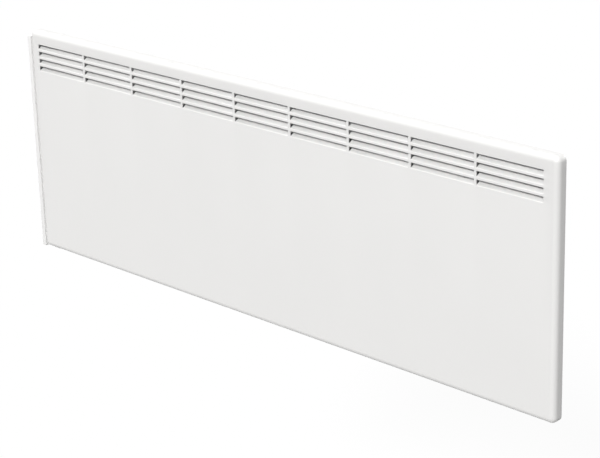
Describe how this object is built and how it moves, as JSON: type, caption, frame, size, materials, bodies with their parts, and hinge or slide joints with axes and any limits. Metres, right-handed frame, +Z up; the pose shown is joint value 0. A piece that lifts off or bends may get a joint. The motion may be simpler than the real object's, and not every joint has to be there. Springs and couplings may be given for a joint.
{
  "type": "wall panel convector heater",
  "caption": "Slim wall-hung electric convector with a louvred sheet-steel front panel, end control box and tilting wall bracket.",
  "frame": {"origin": "centre of the wall bracket's four fixing holes, on the wall plane", "axes": "+X to the right seen from the room, -Y out of the wall to the room, +Z up"},
  "size_m": [1.121, 0.085, 0.389],
  "materials": {
    "panel_white": "white powder coat, semi-matt, very fine orange peel",
    "galvanised_sheet": "bare galvanised steel sheet, fine spangle",
    "galvanised_bracket": "galvanised steel with faint spangle",
    "bright_sheet": "bright aluminised reflector sheet",
    "zinc_steel": "bright zinc plating",
    "spring_steel": "oiled blue-grey spring steel",
    "stainless_tube": "heat-tinted stainless sheath",
    "fin_aluminium": "mill-finish aluminium",
    "box_plastic": "white heat-resistant plastic, fine spark texture",
    "knob_plastic": "white plastic, satin",
    "dark_plastic": "black thermoset, satin",
    "block_plastic": "off-white polyamide",
    "seal_silicone": "red-brown silicone rubber",
    "wire_brown": "brown wire insulation",
    "wire_blue": "blue wire insulation",
    "wire_white": "glass-braided high-temperature wire",
    "wire_green": "green and yellow wire insulation"
  },
  "bodies": {
    "wall_bracket": {"bracket_rail_lower": "galvanised_bracket", "bracket_rail_upper": "galvanised_bracket", "bracket_rivets": "zinc_steel", "bracket_upright_left": "galvanised_bracket", "bracket_upright_right": "galvanised_bracket", "catch_rivets": "zinc_steel", "catch_springs": "spring_steel"},
    "heater": {"base_screws": "zinc_steel", "cable_gland": "dark_plastic", "cap_screws": "zinc_steel", "clamp_rivets": "zinc_steel", "control_base": "box_plastic", "control_cap": "box_plastic", "cutout_clamp": "zinc_steel", "earth_nut": "zinc_steel", "earth_stud": "zinc_steel", "element_end_seals": "seal_silicone", "element_fins": "fin_aluminium", "element_hangers": "zinc_steel", "element_pins": "zinc_steel", "element_tube": "stainless_tube", "front_panel": "panel_white", "gland_nut": "dark_plastic", "grille_screws": "zinc_steel", "hanger_brackets": "zinc_steel", "heat_shield": "bright_sheet", "hinge_rods": "zinc_steel", "intake_grille": "galvanised_sheet", "overheat_cutout": "dark_plastic", "panel_nuts": "zinc_steel", "panel_studs": "zinc_steel", "rear_casing": "galvanised_sheet", "shield_standoffs": "zinc_steel", "switch_housing": "dark_plastic", "terminal_block": "block_plastic", "terminal_screws": "zinc_steel", "thermostat_body": "dark_plastic", "thermostat_nut": "zinc_steel", "wire_earth": "wire_green", "wire_grommet": "seal_silicone", "wire_link": "wire_white", "wire_live": "wire_brown", "wire_load": "wire_white", "wire_neutral": "wire_blue", "wire_switched": "wire_brown"},
    "knob": {"thermostat_knob": "knob_plastic", "thermostat_shaft": "zinc_steel"},
    "rocker": {"switch_rocker": "knob_plastic"}
  },
  "joints": [
    {"name": "heater_tilt", "type": "hinge", "parent": "wall_bracket", "child": "heater", "pos_m": [0, -0.033, -0.14], "axis": [1, 0, 0], "range_deg": [0, 20], "deforming": ["catch_springs"]},
    {"name": "thermostat_turn", "type": "hinge", "parent": "heater", "child": "knob", "pos_m": [-0.565, -0.04625, 0.1246], "axis": [-1, 0, 0], "range_deg": [0, 270]},
    {"name": "switch_rock", "type": "hinge", "parent": "heater", "child": "rocker", "pos_m": [-0.566, -0.04625, 0.0646], "axis": [0, 1, 0], "range_deg": [0, 16]}
  ]
}
